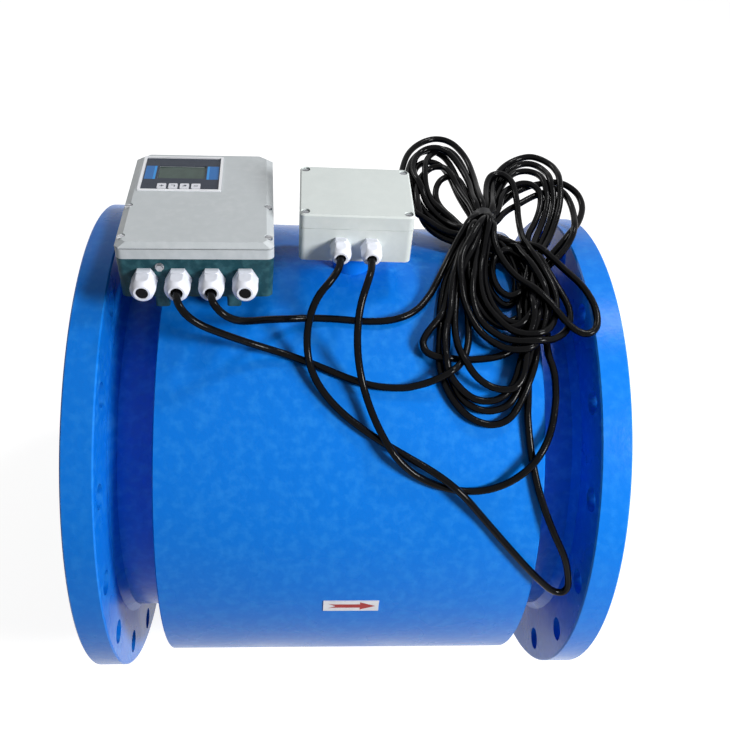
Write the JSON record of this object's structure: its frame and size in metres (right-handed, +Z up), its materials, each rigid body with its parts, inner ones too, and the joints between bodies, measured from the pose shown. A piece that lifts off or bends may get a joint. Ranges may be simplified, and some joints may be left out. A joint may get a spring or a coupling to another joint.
{
  "type": "electromagnetic flow meter",
  "caption": "Flanged electromagnetic flow meter: coil housing round a lined tube, junction box on a post, and a converter with display and keys lying on top, joined by a tied hank of cable.",
  "frame": {"origin": "centre of the inlet flange's front face, on the pipe axis", "axes": "+X along the pipe in the flow direction, +Z up to the junction box, -Y to the side of the cable glands"},
  "size_m": [0.57, 0.5649, 0.639],
  "materials": {
    "housing_paint": "gloss",
    "liner_rubber": "matte",
    "coil_tape": "matte",
    "steel": "brushed",
    "electrode_steel": "polished",
    "insulator": "matte",
    "box_plastic": "satin",
    "gland_plastic": "satin",
    "seal_rubber": "matte",
    "plug_plastic": "matte",
    "base_paint": "satin",
    "cover_paint": "satin",
    "trim_metal": "satin",
    "label_plastic": "matte",
    "display_plastic": "matte",
    "key_plastic": "satin",
    "board": "satin",
    "terminal_plastic": "matte",
    "plate_metal": "satin",
    "cable_sheath": "gloss",
    "tie_plastic": "satin"
  },
  "bodies": {
    "meter": {"measuring_tube": "housing_paint", "inlet_flange": "housing_paint", "outlet_flange": "housing_paint", "tube_liner": "liner_rubber", "liner_flare_inlet": "liner_rubber", "liner_flare_outlet": "liner_rubber", "electrode_near": "electrode_steel", "electrode_far": "electrode_steel", "electrode_bushes": "insulator", "electrode_nuts": "steel", "housing_shell": "housing_paint", "housing_end_plate_inlet": "housing_paint", "housing_end_plate_outlet": "housing_paint", "upper_pole_piece": "steel", "lower_pole_piece": "steel", "upper_coil": "coil_tape", "lower_coil": "coil_tape", "return_yoke": "steel", "flow_arrow_plate": "plate_metal", "junction_box_post": "housing_paint", "junction_box_post_screws": "steel", "junction_box_base": "box_plastic", "junction_box_gasket": "seal_rubber", "junction_box_lid": "box_plastic", "junction_box_lid_screws": "steel", "junction_box_terminals": "terminal_plastic", "junction_gland_bodies": "gland_plastic", "junction_gland_caps": "gland_plastic", "junction_gland_seals": "seal_rubber", "junction_gland_locknuts": "gland_plastic", "converter_base": "base_paint", "converter_feet": "base_paint", "converter_frame": "cover_paint", "converter_gasket": "seal_rubber", "converter_cover": "cover_paint", "converter_cover_screws": "steel", "display_trim": "trim_metal", "display_label": "label_plastic", "display_module": "display_plastic", "circuit_board": "board", "key_switches": "plug_plastic", "terminal_strip": "terminal_plastic", "earth_screw": "steel", "converter_gland_bodies": "gland_plastic", "converter_gland_caps": "gland_plastic", "converter_gland_seals": "seal_rubber", "converter_gland_locknuts": "gland_plastic", "converter_gland_plugs": "plug_plastic", "signal_cable_at_box": "cable_sheath", "supply_cable_at_box": "cable_sheath", "signal_cable_at_converter": "cable_sheath", "supply_cable_at_converter": "cable_sheath", "cable_hank": "cable_sheath", "cable_tie": "tie_plastic"},
    "key_1_body": {"key_1": "key_plastic"},
    "key_2_body": {"key_2": "key_plastic"},
    "key_3_body": {"key_3": "key_plastic"},
    "key_4_body": {"key_4": "key_plastic"}
  },
  "joints": [
    {"name": "key_1_press", "type": "slide", "parent": "meter", "child": "key_1_body", "axis": [0.0045, -0.1183, -0.993], "range_m": [0, 0.0006], "stiffness_N_per_m": 400},
    {"name": "key_2_press", "type": "slide", "parent": "meter", "child": "key_2_body", "axis": [0.0045, -0.1183, -0.993], "range_m": [0, 0.0006], "stiffness_N_per_m": 400},
    {"name": "key_3_press", "type": "slide", "parent": "meter", "child": "key_3_body", "axis": [0.0045, -0.1183, -0.993], "range_m": [0, 0.0006], "stiffness_N_per_m": 400},
    {"name": "key_4_press", "type": "slide", "parent": "meter", "child": "key_4_body", "axis": [0.0045, -0.1183, -0.993], "range_m": [0, 0.0006], "stiffness_N_per_m": 400}
  ]
}
